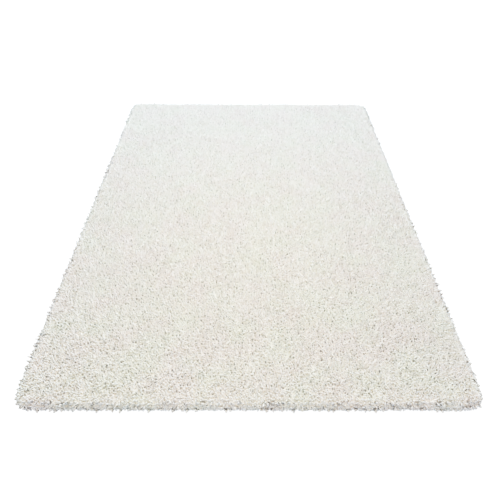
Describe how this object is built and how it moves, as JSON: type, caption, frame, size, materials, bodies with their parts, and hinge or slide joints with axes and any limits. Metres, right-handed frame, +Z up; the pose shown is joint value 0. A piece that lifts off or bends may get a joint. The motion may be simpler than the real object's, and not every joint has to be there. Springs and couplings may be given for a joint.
{
  "type": "shag rug",
  "caption": "Rectangular shag rug with rounded corners: long, dense, plain cream yarn that stands on a thin woven ground and leans out over its rim.",
  "frame": {"origin": "middle of the flat underside, on the floor", "axes": "+Z up out of the pile, +Y along the rug's length, +X across its width"},
  "size_m": [1.232, 1.732, 0.0346],
  "materials": {
    "cream_yarn": "long soft pile yarn, cream white, matte",
    "woven_ground": "coarse plain weave, undyed, matte"
  },
  "bodies": {
    "root": {"shag_rug": "cream_yarn"}
  },
  "joints": []
}
